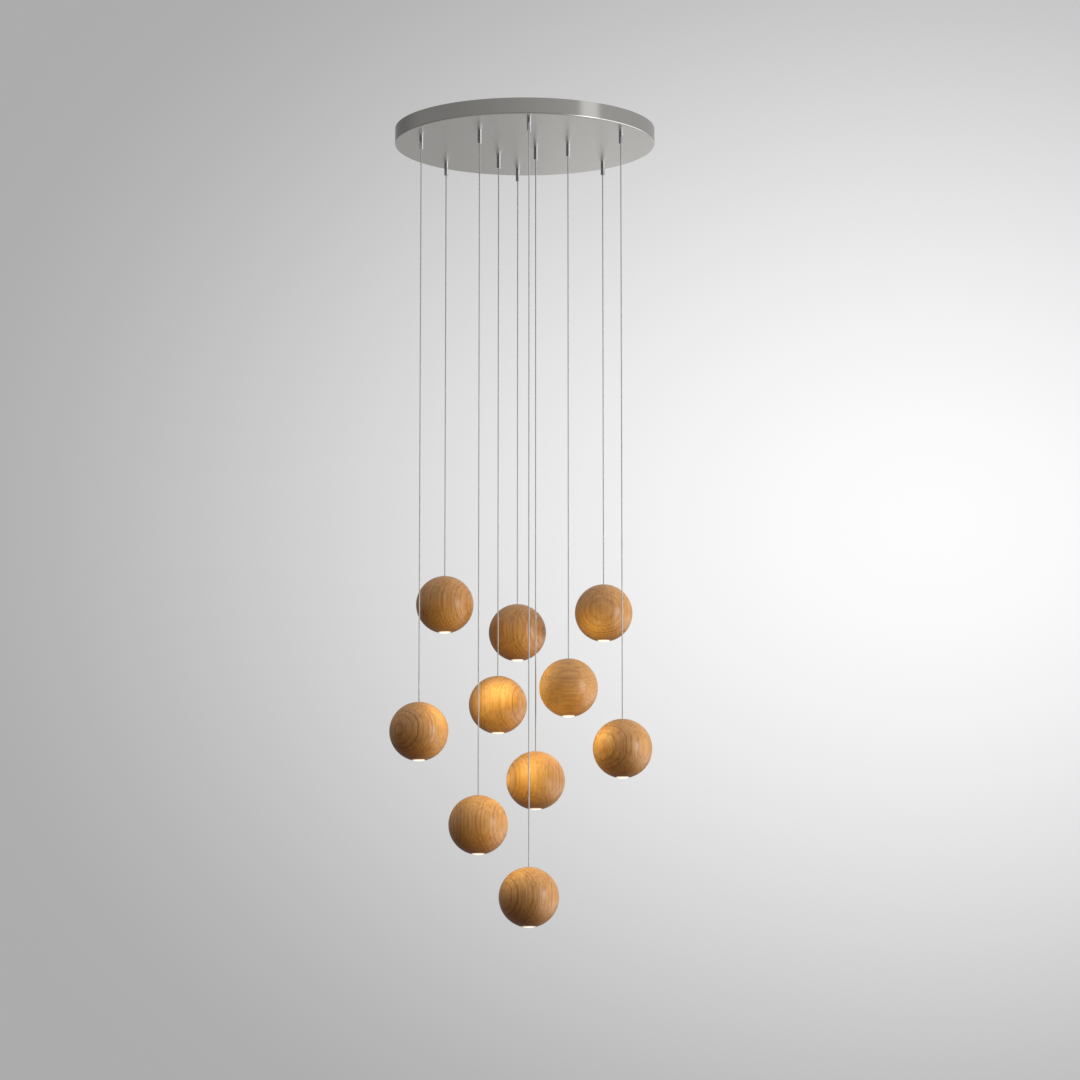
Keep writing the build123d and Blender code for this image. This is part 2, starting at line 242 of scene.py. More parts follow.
# Turned brass: warm yellow, with fine rings from the tool
TURNED_BRASS = Finish("turned_brass", "#D2A95C", "#B88D40", 1.0, 0.28, 0.10, 0.5, (12.0, 12.0, 1.0))
# Turned aluminium: pale grey, with fine rings from the tool
TURNED_ALUMINIUM = Finish("turned_aluminium", "#C9CACB", "#AEB0B1", 1.0, 0.36, 0.10, 0.5, (12.0, 12.0, 1.0))
# Moulded polycarbonate, off white and lightly spark-eroded
DRIVER_PLASTIC = Finish("white_polycarbonate", "#DEDDD8", "#D2D1CC", 0.0, 0.50, 0.08, 0.8, bump_mm=0.02)
# Moulded polyamide, black and lightly spark-eroded
JUNCTION_PLASTIC = Finish("black_polyamide", "#343536", "#28292A", 0.0, 0.52, 0.08, 0.8, bump_mm=0.02)


@dataclass(frozen=True)
class CordSheath:
    """A tinned copper braid under a thin clear sheath: a silver-grey cord with a fine diamond lay."""

    name: str = "clear_sheathed_braid"
    pale: str = "#C4C4C3"
    dark: str = "#9B9B9A"
    metallic: float = 0.3
    roughness: float = 0.4
    coat: float = 0.4
    coat_roughness: float = 0.2
    carriers: float = 8.0
    lay_mm: float = 2.5
    cord_mm: float = 1050.0

    def material(self) -> Material:
        """Builds the node material, whose braid follows the cord's own UV map.

        Returns:
            The cord's material.
        """
        material, tree, shader = new_material(self.name)
        axes = add_node(tree, "SeparateXYZ", add_node(tree, "TexCoord").outputs["UV"]).outputs
        lays = []
        # The map runs from 0 to 1 along a cord of any length, so the lay is true on one of usual length. From
        # where the camera stands it is too fine to show, and only greys the cord
        for hand in (-1, 1):
            turns = hand * self.cord_mm / self.lay_mm * math.tau
            along = add_node(tree, "Math", axes["X"], turns, operation="MULTIPLY")
            around = add_node(
                tree, "Math", axes["Y"], self.carriers * math.tau, along, operation="MULTIPLY_ADD"
            )
            lays.append(add_node(tree, "Math", around, operation="SINE"))
        braid = add_node(tree, "Math", *lays, operation="MULTIPLY")
        colour = add_node(tree, "ValToRGB", add_node(tree, "MapRange", braid, -1.0, 1.0))
        set_stops(colour, [(0.0, linear(self.dark)), (1.0, linear(self.pale))])
        inputs = {
            "Base Color": colour,
            "Metallic": self.metallic,
            "Roughness": self.roughness,
            "Coat Weight": self.coat,
            "Coat Roughness": self.coat_roughness,
        }
        set_inputs(tree, shader, inputs)
        return material


@dataclass(frozen=True)
class FrostedAcrylic:
    """A frosted acrylic lens with the lamp on behind it: warm white, and dim where the cup shades its rim."""

    name: str = "frosted_acrylic_lit"
    body: str = "#E6E2D9"
    glow: str = "#FFF1DC"
    edge_glow: str = "#8C6B47"
    strength: float = 0.9
    roughness: float = 0.45
    radius_mm: float = 10.8
    lit_share: float = 0.84
    shaded_share: float = 0.98

    def material(self, middle: Vector) -> Material:
        """Builds the node material for one lens.

        Args:
            middle: the ball's middle, which the lens lies under.

        Returns:
            The lens's material.
        """
        material, tree, shader = new_material(self.name)
        place = add_node(tree, "TexCoord").outputs["Object"]
        across = 1 / (self.radius_mm * MM)
        start = (-middle.x * across, -middle.y * across, 0.0)
        local = add_node(tree, "Mapping", place, start, inputs={"Scale": (across, across, 0.0)})
        colour = add_node(tree, "ValToRGB", add_node(tree, "VectorMath", local, operation="LENGTH"))
        set_stops(colour, [(self.lit_share, linear(self.glow)), (self.shaded_share, linear(self.edge_glow))])
        inputs = {
            "Base Color": linear(self.body),
            "Roughness": self.roughness,
            "Emission Color": colour,
            "Emission Strength": self.strength,
        }
        set_inputs(tree, shader, inputs)
        return material


@dataclass(frozen=True)
class Grain:
    """How one ball was cut from its plank.

    yaw and pitch, in degrees, turn the way across the growth layers from the ball's X axis. heart_mm is
    where the plank's heart lies across the layers, and phase is how far through a layer it lies. tone is a
    little more or less brown than the rest, and lines is how strongly the layers are drawn.
    """

    yaw: float
    pitch: float = 0.0
    heart_mm: float = 0.0
    phase: float = 0.0
    tone: float = 0.0
    lines: float = 0.52


@dataclass(frozen=True)
class Fibre:
    """A noise that is drawn out along the grain: its sizes across and along it, its detail and its seed."""

    across_mm: float
    along_mm: float
    detail: float
    seed: int
    seed_step: Triple = (7.3, 3.1, 5.7)

    def noise(self, tree: Tree, local: Node, number: int) -> Node:
        """Adds the noise to a ball's material.

        Args:
            tree: the material's node tree.
            local: the point in the ball's own millimetres.
            number: the pendant's number, which sets its noise apart from the others'.

        Returns:
            The noise, from 0 to 1.
        """
        start = [(number + self.seed) * step for step in self.seed_step]
        scale = (1 / self.across_mm, 1 / self.across_mm, 1 / self.along_mm)
        fitted = add_node(tree, "Mapping", local, start, inputs={"Scale": scale})
        return add_node(tree, "TexNoise", fitted, inputs={"Scale": 1.0, "Detail": self.detail})


@dataclass(frozen=True)
class LacqueredWood:
    """Flat-sawn ash, stained mid brown and satin lacquered.

    Bowed, slightly frayed growth layers show as hourglass lines on two sides and as ovals on the other two.
    Fine fibres and short dark pores run along the grain, and the lacquer gives one soft highlight.
    """

    name: str = "lacquered_ash"
    pale: str = "#CA9758"
    middle: str = "#B68248"
    brown: str = "#9B6834"
    line: str = "#744620"
    pore: str = "#5F3817"
    tone_places: tuple[float, ...] = (0.05, 0.30, 0.55, 0.90)
    tone_start: float = -0.24
    fine_weight: float = 0.10
    streak_weight: float = 0.80
    fibre_weight: float = 0.14
    layer_mm: float = 6.5
    fine_layer_mm: float = 2.3
    bow_mm: float = 13.0
    bow_power: float = 3.0
    heart_width_mm: float = 5.0
    quiet_mm: Span = (9.0, 17.0)
    line_chance: Span = (0.35, 1.0)
    line_strength: Span = (0.12, 1.0)
    sway_mm: float = 2.6
    sway: Fibre = Fibre(45.0, 160.0, 2.0, 40)
    fray_mm: float = 0.8
    fray: Fibre = Fibre(3.0, 18.0, 1.0, 60)
    streak: Fibre = Fibre(3.4, 120.0, 3.0, 0)
    fibre: Fibre = Fibre(1.0, 10.0, 1.0, 20)
    pore_span: Span = (0.60, 0.72)
    pore_strength: float = 0.30
    pore_bump: float = 0.35
    pore_depth_mm: float = 0.12
    roughness: Span = (0.38, 0.52)
    specular: float = 0.32
    coat: float = 0.5
    coat_roughness: float = 0.28

    def material(self, number: int, middle: Vector, radius: float, grain: Grain) -> Material:
        """Builds the node material for one ball.

        Args:
            number: the pendant's number, which sets its noise apart from the others'.
            middle: the ball's middle.
            radius: the ball's radius.
            grain: how the ball was cut.

        Returns:
            The ball's material.
        """
        material, tree, shader = new_material(f"{self.name}_{number:02d}")
        place = add_node(tree, "TexCoord").outputs["Object"]
        turn = (0.0, math.radians(grain.pitch), math.radians(grain.yaw))
        local = add_node(tree, "Mapping", place, middle, turn, (MM, MM, MM), vector_type="TEXTURE")
        depth, across = self.layers(tree, local, number, radius / MM, grain)
        lines, fine = self.ring_lines(tree, depth, across, grain)
        streak = self.streak.noise(tree, local, number)
        fibre = self.fibre.noise(tree, local, number)
        tone: Any = grain.tone + self.tone_start
        weights = (grain.lines, self.fine_weight, self.streak_weight, self.fibre_weight)
        for share, weight in zip((lines, fine, streak, fibre), weights):
            tone = add_node(tree, "Math", share, weight, tone, operation="MULTIPLY_ADD")
        colour = add_node(tree, "ValToRGB", tone)
        colours = [linear(shade) for shade in (self.pale, self.middle, self.brown, self.line)]
        set_stops(colour, list(zip(self.tone_places, colours)))
        pores = add_node(tree, "MapRange", fibre, *self.pore_span, 0.0, self.pore_strength)
        # A mix of colours has its two colours at inputs 6 and 7
        flecked = add_node(
            tree, "Mix", pores, inputs={6: colour, 7: linear(self.pore)}, data_type="RGBA"
        )
        dents = add_node(tree, "Math", fibre, -1.0, operation="MULTIPLY")
        bump = add_node(tree, "Bump", self.pore_bump, self.pore_depth_mm * MM, inputs={"Height": dents})
        inputs = {
            "Base Color": flecked,
            "Roughness": add_node(tree, "MapRange", fibre, 0.0, 1.0, *self.roughness),
            "Normal": bump,
            "Specular IOR Level": self.specular,
            "Coat Weight": self.coat,
            "Coat Roughness": self.coat_roughness,
        }
        set_inputs(tree, shader, inputs)
        return material

    def layers(
        self, tree: Tree, local: Node, number: int, radius_mm: float, grain: Grain
    ) -> tuple[Node, Node]:
        """Works out how deep a point lies in the plank's bowed growth layers.

        Args:
            tree: the material's node tree.
            local: the point in the ball's own millimetres, turned to the plank.
            number: sets the layers' sway apart from the other balls'.
            radius_mm: the ball's radius.
            grain: how the ball was cut.

        Returns:
            The depth in millimetres, the same all over one layer, and the straight way from the heart.
        """
        axes = add_node(tree, "SeparateXYZ", local).outputs
        aside = add_node(tree, "Math", axes["X"], grain.heart_mm, operation="SUBTRACT")
        square = add_node(tree, "Math", aside, aside, self.heart_width_mm**2, operation="MULTIPLY_ADD")
        across = add_node(tree, "Math", square, operation="SQRT")
        height = add_node(tree, "Math", axes["Z"], operation="ABSOLUTE")
        rise = add_node(tree, "Math", height, self.bow_power, operation="POWER")
        bow = -self.bow_mm / radius_mm**self.bow_power
        depth = add_node(tree, "Math", rise, bow, across, operation="MULTIPLY_ADD")
        for fibre, reach_mm in ((self.sway, self.sway_mm), (self.fray, self.fray_mm)):
            noise = fibre.noise(tree, local, number)
            depth = add_node(tree, "Math", noise, 2 * reach_mm, depth, operation="MULTIPLY_ADD")
        return depth, across

    def ring_lines(self, tree: Tree, depth: Node, across: Node, grain: Grain) -> tuple[Node, Node]:
        """Draws the dark late wood of the growth layers.

        Args:
            tree: the material's node tree.
            depth: the depth in the layers, in millimetres.
            across: the straight way from the heart, near which the wood is quiet.
            grain: how the ball was cut.

        Returns:
            The strong lines, each of its own strength, and the fine ones between them, both from 0 to 1.
        """
        count = add_node(tree, "Math", depth, 1 / self.layer_mm, grain.phase, operation="MULTIPLY_ADD")
        profile = add_node(tree, "ValToRGB", add_node(tree, "Math", count, operation="FRACT"))
        set_stops(profile, [(place, (value, value, value, 1.0)) for place, value in RING_PROFILE])
        layer = add_node(tree, "Math", count, operation="FLOOR")
        chance = add_node(tree, "TexWhiteNoise", inputs={"W": layer}, noise_dimensions="1D")
        strength = add_node(tree, "MapRange", chance, *self.line_chance, *self.line_strength)
        drawn = add_node(tree, "Math", profile, strength, operation="MULTIPLY")
        off_heart = add_node(tree, "MapRange", across, *self.quiet_mm, **SOFT)
        strong = add_node(tree, "Math", drawn, off_heart, operation="MULTIPLY")
        turns = add_node(tree, "Math", depth, math.tau / self.fine_layer_mm, operation="MULTIPLY")
        wave = add_node(tree, "Math", turns, operation="SINE")
        return strong, add_node(tree, "Math", wave, 0.5, 0.5, operation="MULTIPLY_ADD")


# How dark a growth layer is from its early wood to the sharp edge of its late wood
RING_PROFILE = ((0.0, 0.28), (0.06, 0.05), (0.45, 0.0), (0.82, 0.26), (0.92, 1.0), (1.0, 0.60))

# How each ball was cut, from pendant 1 to 10
GRAINS = (
    Grain(yaw=48, heart_mm=4, phase=0.1, tone=0.02),
    Grain(yaw=-18, heart_mm=-6, phase=0.5, tone=0.03),
    Grain(yaw=-10, heart_mm=-8, phase=0.2, tone=0.0),
    Grain(yaw=-16, heart_mm=0, phase=0.7, tone=-0.04),
    Grain(yaw=-20, heart_mm=-5, phase=0.0, tone=0.04),
    Grain(yaw=26, heart_mm=2, phase=0.35, tone=0.0),
    Grain(yaw=10, heart_mm=-3, phase=0.6, tone=-0.04),
    Grain(yaw=0, pitch=90, heart_mm=8, phase=0.4, tone=0.0, lines=0.18),
    Grain(yaw=-94, heart_mm=-14, phase=0.15, tone=-0.04, lines=0.64),
    Grain(yaw=44, heart_mm=6, phase=0.8, tone=0.0),
)


def put(name: str, data: bpy.types.ID) -> Piece:
    """Puts a new object into the scene, at the origin.

    Args:
        name: the object's name.
        data: its mesh, curve, light or camera.

    Returns:
        The new object.
    """
    item = bpy.data.objects.new(name, data)
    bpy.context.scene.collection.objects.link(item)
    return item


def add_piece(name: str, mesh: Mesh, material: Material) -> Piece:
    """Makes a smooth-shaded piece.

    Args:
        name: the piece's name.
        mesh: its mesh, in place.
        material: its finish.

    Returns:
        The new piece.
    """
    mesh.materials.clear()
    mesh.materials.append(material)
    mesh.shade_smooth()
    mesh.set_sharp_from_angle(angle=SMOOTH_ANGLE)
    LOG.info("%s: %d faces", name, len(mesh.polygons))
    return put(name, mesh)


def to_mesh(name: str, shape: Shape) -> Mesh:
    """Turns a bmesh into a mesh, and frees the bmesh.

    Args:
        name: the mesh's name.
        shape: the finished bmesh.

    Returns:
        The mesh.
    """
    mesh = bpy.data.meshes.new(name)
    shape.to_mesh(mesh)
    shape.free()
    return mesh


def step_loop(shape: Shape, loop: list[Edge], radius: float, height: float) -> list[Edge]:
    """Draws a round loop of edges about Z on to a new radius and height.

    Args:
        shape: the bmesh that the loop belongs to.
        loop: the loop's edges.
        radius: the new loop's radius.
        height: the new loop's height.

    Returns:
        The new loop's edges.
    """
    start = loop[0].verts[0].co
    share = radius / math.hypot(start.x, start.y)
    rise = height - start.z
    grown = bmesh.ops.extrude_edge_only(shape, edges=loop)["geom"]
    verts = {item for item in grown if isinstance(item, Vertex)}
    bmesh.ops.scale(shape, vec=(share, share, 1.0), verts=list(verts))
    bmesh.ops.translate(shape, vec=(0.0, 0.0, rise), verts=list(verts))
    edges = [item for item in grown if isinstance(item, Edge)]
    return [edge for edge in edges if verts.issuperset(edge.verts)]


def cut_level(shape: Shape, height: float, way: float) -> None:
    """Cuts a shape off level.

    Args:
        shape: the bmesh.
        height: where it is cut.
        way: 1 to take away what lies above the cut, or -1 for what lies below it.
    """
    bmesh.ops.bisect_plane(
        shape,
        geom=shape.verts[:] + shape.edges[:] + shape.faces[:],
        plane_co=(0.0, 0.0, height),
        plane_no=(0.0, 0.0, way),
        clear_outer=True,
    )


def round_edges(shape: Shape, edges: list[Edge], radius: float, segments: int = EDGE_FACES) -> None:
    """Rounds edges over.

    Args:
        shape: the bmesh that the edges belong to.
        edges: the edges.
        radius: how far the rounding reaches on each side.
        segments: how many faces it has across.
    """
    bmesh.ops.bevel(
        shape,
        geom=edges,
        offset=radius,
        offset_type="OFFSET",
        segments=segments,
        profile=0.5,
        affect="EDGES",
        material=-1,
    )


def add_bar(shape: Shape, radius: float, length: float, place: Matrix) -> None:
    """Adds a round bar along its own Z.

    Args:
        shape: the bmesh that gets the bar.
        radius: the bar's radius.
        length: the bar's length.
        place: where its middle lies, and how it is turned.
    """
    bmesh.ops.create_cone(
        shape, cap_ends=True, segments=HOLE_SIDES, radius1=radius, radius2=radius, depth=length, matrix=place
    )


def drill(piece: Piece, bars: Shape) -> None:
    """Cuts round bars out of a piece, and leaves the cut in its mesh.

    Args:
        piece: the piece to drill.
        bars: the bars, which are freed.
    """
    tool = put("drill", to_mesh("drill", bars))
    cut = piece.modifiers.new("holes", "BOOLEAN")
    cut.operation = "DIFFERENCE"
    cut.solver = "EXACT"
    cut.object = tool
    graph = bpy.context.evaluated_depsgraph_get()
    drilled = bpy.data.meshes.new_from_object(piece.evaluated_get(graph))
    piece.modifiers.clear()
    plain = piece.data
    piece.data = drilled
    drilled.name = piece.name
    drilled.set_sharp_from_angle(angle=SMOOTH_ANGLE)
    bpy.data.meshes.remove(plain)
    bpy.data.meshes.remove(tool.data)


def even_shading(piece: Piece) -> None:
    """Lets a piece's broad flat faces set the shading at its rounded edges."""
    weighted = piece.modifiers.new("even_shading", "WEIGHTED_NORMAL")
    weighted.keep_sharp = True


def dress(node: str, material: Material) -> None:
    """Gives a node of the frame its finish, with its shape as it is.

    Args:
        node: the node's name.
        material: its finish.
    """
    materials = frame["nodes"][node].data.materials
    materials.clear()
    materials.append(material)


@dataclass(frozen=True)
class Place:
    """Where one pendant hangs: its number, the throat of its grip and the middle of its ball."""

    number: int
    throat: Vector
    middle: Vector

    @property
    def key(self) -> str:
        """The number as the frame's names have it."""
        return f"{self.number:02d}"


def pendant_places() -> list[Place]:
    """Reads where the pendants hang from the frame's joints.

    Returns:
        The places, in the order of their numbers.
    """
    pivots = {joint["name"]: joint.get("pos_m") for joint in frame["joints"]}
    keys = sorted(name.removeprefix("sway_") for name in pivots if name.startswith("sway_"))
    return [Place(int(key), Vector(pivots[f"sway_{key}"]), Vector(pivots[f"turn_{key}"])) for key in keys]


@dataclass
class Route:
    """A cord's smooth line through a few given points."""

    name: str
    points: list[Vector]
    diameter: float
    line_order: int = 3
    line_steps: int = 16
    tube_steps: int = 4

    def curve(self) -> Piece:
        """Makes the line as a curve object.

        Returns:
            A NURBS curve with no thickness yet.
        """
        line = bpy.data.curves.new(self.name, "CURVE")
        line.dimensions = "3D"
        line.resolution_u = self.line_steps
        spline = line.splines.new("NURBS")
        spline.points.add(len(self.points) - 1)
        for point, place in zip(spline.points, self.points):
            point.co = (*place, 1.0)
        spline.order_u = self.line_order
        spline.use_endpoint_u = True
        return put(self.name, line)

    def meshes(self) -> tuple[Mesh, list[Vector]]:
        """Makes the round tube and the points that it follows.

        Returns:
            The tube's mesh, and the points read from the line.
        """
        curve = self.curve()
        thin = bpy.data.meshes.new_from_object(curve)
        points = [vertex.co.copy() for vertex in thin.vertices]
        curve.data.bevel_depth = self.diameter / 2
        curve.data.bevel_resolution = self.tube_steps
        curve.data.use_fill_caps = True
        bpy.context.view_layer.update()
        tube = bpy.data.meshes.new_from_object(curve)
        tube.name = self.name
        bpy.data.meshes.remove(thin)
        bpy.data.curves.remove(curve.data)
        return tube, points


@dataclass
class Cord:
    """One pendant's cord, pulled straight by its ball from the grip's throat down to the lamp."""

    place: Place
    ball_radius: float
    diameter: float = 2.0 * MM
    straight_diameters: float = 6.0

    def build(self, material: Material) -> Piece:
        """Args:
            material: the cord's finish.

        Returns:
            The cord.
        """
        node = f"cord_{self.place.key}"
        throat = self.place.throat
        ball_top = self.place.middle + Vector((0.0, 0.0, self.ball_radius))
        end = Vector((throat.x, throat.y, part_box(node)[0].z))
        straight = Vector((0.0, 0.0, self.straight_diameters * self.diameter))
        points = [throat, throat - straight, ball_top + straight, end]
        tube, path = Route(f"pendant_cord_{self.place.key}", points, self.diameter).meshes()
        cord = add_piece(f"pendant_cord_{self.place.key}", tube, material)
        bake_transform(cord)
        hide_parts(node)
        return cord


def hang_light(
    name: str, kind: LightKind, place: Vector | Triple, watts: float, colour: str = "#FFFFFF"
) -> Piece:
    """Hangs a light that neither the camera nor a mirror sees.

    Args:
        name: the light's name.
        kind: what it is.
        place: where it hangs.
        watts: how strong it is.
        colour: its colour.

    Returns:
        The light.
    """
    light = put(name, bpy.data.lights.new(name, kind.value))
    light.data.energy = watts
    light.data.color = linear(colour)[:3]
    light.location = place
    light.visible_camera = False
    light.visible_glossy = False
    return light


@dataclass
class Pendant:
    """One turned ball with its lens, and the lamp and cord stop inside it."""

    place: Place
    radius: float
    cord_hole_r: float = 1.3 * MM
    bore_r: float = 12.5 * MM
    edge_break: float = 0.8 * MM
    bore_depth: float = 34.0 * MM
    stop_bore_r: float = 4.1 * MM
    stop_down: float = 26.0 * MM
    mouth_rounding: float = 0.3 * MM
    lens_r: float = 10.8 * MM
    lens_crown: float = 1.8 * MM
    lens_proud: float = 2.2 * MM
    lens_rounding: float = 0.3 * MM
    ball_sides: int = 128
    ball_rings: int = 80
    lens_sides: int = 96
    lens_rings: int = 180
    lamp_watts: float = 0.054
    lamp_colour: str = "#FFE0A8"

    @property
    def body(self) -> str:
        """The body that the ball, its lamp and its lens move with."""
        return f"pendant_{self.place.key}"

    @property
    def mouth_z(self) -> float:
        """The height of the lamp bore's mouth, from the ball's middle."""
        return -math.sqrt(self.radius**2 - (self.bore_r + self.edge_break) ** 2)

    def build_ball(self, material: Material) -> Piece:
        """Turns the ball, with its lamp bore, the stop's bore above it and the cord hole.

        Args:
            material: the ball's wood.

        Returns:
            The ball.
        """
        shape = bmesh.new()
        bmesh.ops.create_uvsphere(
            shape, u_segments=self.ball_sides, v_segments=self.ball_rings, radius=self.radius
        )
        cut_level(shape, math.sqrt(self.radius**2 - self.cord_hole_r**2), 1.0)
        cut_level(shape, self.mouth_z, -1.0)
        rims = [edge for edge in shape.edges if edge.is_boundary]
        mouth = [edge for edge in rims if edge.verts[0].co.z < 0]
        top = [edge for edge in rims if edge.verts[0].co.z > 0]
        lamp_top_z = self.mouth_z + self.bore_depth
        stop_seat_z = self.radius - self.stop_down
        steps = (
            (self.bore_r, self.mouth_z + self.edge_break),
            (self.bore_r, lamp_top_z),
            (self.stop_bore_r, lamp_top_z),
            (self.stop_bore_r, stop_seat_z),
            (self.cord_hole_r, stop_seat_z),
        )
        loop = mouth
        for step_radius, height in steps:
            loop = step_loop(shape, loop, step_radius, height)
        bmesh.ops.bridge_loops(shape, edges=loop + top)
        round_edges(shape, mouth, self.mouth_rounding)
        bmesh.ops.recalc_face_normals(shape, faces=shape.faces[:])
        bmesh.ops.translate(shape, vec=self.place.middle, verts=shape.verts[:])
        name = f"turned_ball_{self.place.key}"
        ball = add_piece(name, to_mesh(name, shape), material)
        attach(ball, self.body)
        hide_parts(f"ball_{self.place.key}")
        return ball

    def build_lens(self, material: Material) -> Piece:
        """Moulds the lens: a shallow dome on a short round skirt that fits in the lamp's cup.

        Args:
            material: the lens's acrylic.

        Returns:
            The lens.
        """
        node = f"diffuser_{self.place.key}"
        dome_r = (self.lens_r**2 + self.lens_crown**2) / (2 * self.lens_crown)
        shape = bmesh.new()
        bmesh.ops.create_uvsphere(
            shape, u_segments=self.lens_sides, v_segments=self.lens_rings, radius=dome_r
        )
        cut_level(shape, self.lens_crown - dome_r, 1.0)
        rim = [edge for edge in shape.edges if edge.is_boundary]
        low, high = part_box(node)
        skirt = step_loop(shape, rim, self.lens_r, high.z - low.z - dome_r)
        bmesh.ops.edgeloop_fill(shape, edges=skirt)
        round_edges(shape, rim, self.lens_rounding)
        bmesh.ops.recalc_face_normals(shape, faces=shape.faces[:])
        crown = Vector((self.place.middle.x, self.place.middle.y, low.z + dome_r))
        bmesh.ops.translate(shape, vec=crown, verts=shape.verts[:])
        name = f"domed_lens_{self.place.key}"
        lens = add_piece(name, to_mesh(name, shape), material)
        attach(lens, self.body)
        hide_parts(node)
        return lens

    def light(self) -> Piece:
        """Lights the lamp: a small warm disc just under the lens, which moves with the ball.

        Returns:
            The light.
        """
        below = self.mouth_z - self.lens_proud - self.lens_rounding
        place = self.place.middle + Vector((0.0, 0.0, below))
        name = f"lamp_{self.place.key}"
        lamp = hang_light(name, LightKind.FLAT, place, self.lamp_watts, self.lamp_colour)
        lamp.data.shape = "DISK"
        lamp.data.size = 2 * self.lens_r
        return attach(lamp, self.body)

    def dress_inside(self, aluminium: Material, brass: Material) -> None:
        """Gives the lamp and the cord stop inside the ball their finishes."""
        dress(f"lamp_core_{self.place.key}", aluminium)
        dress(f"cord_stop_{self.place.key}", brass)


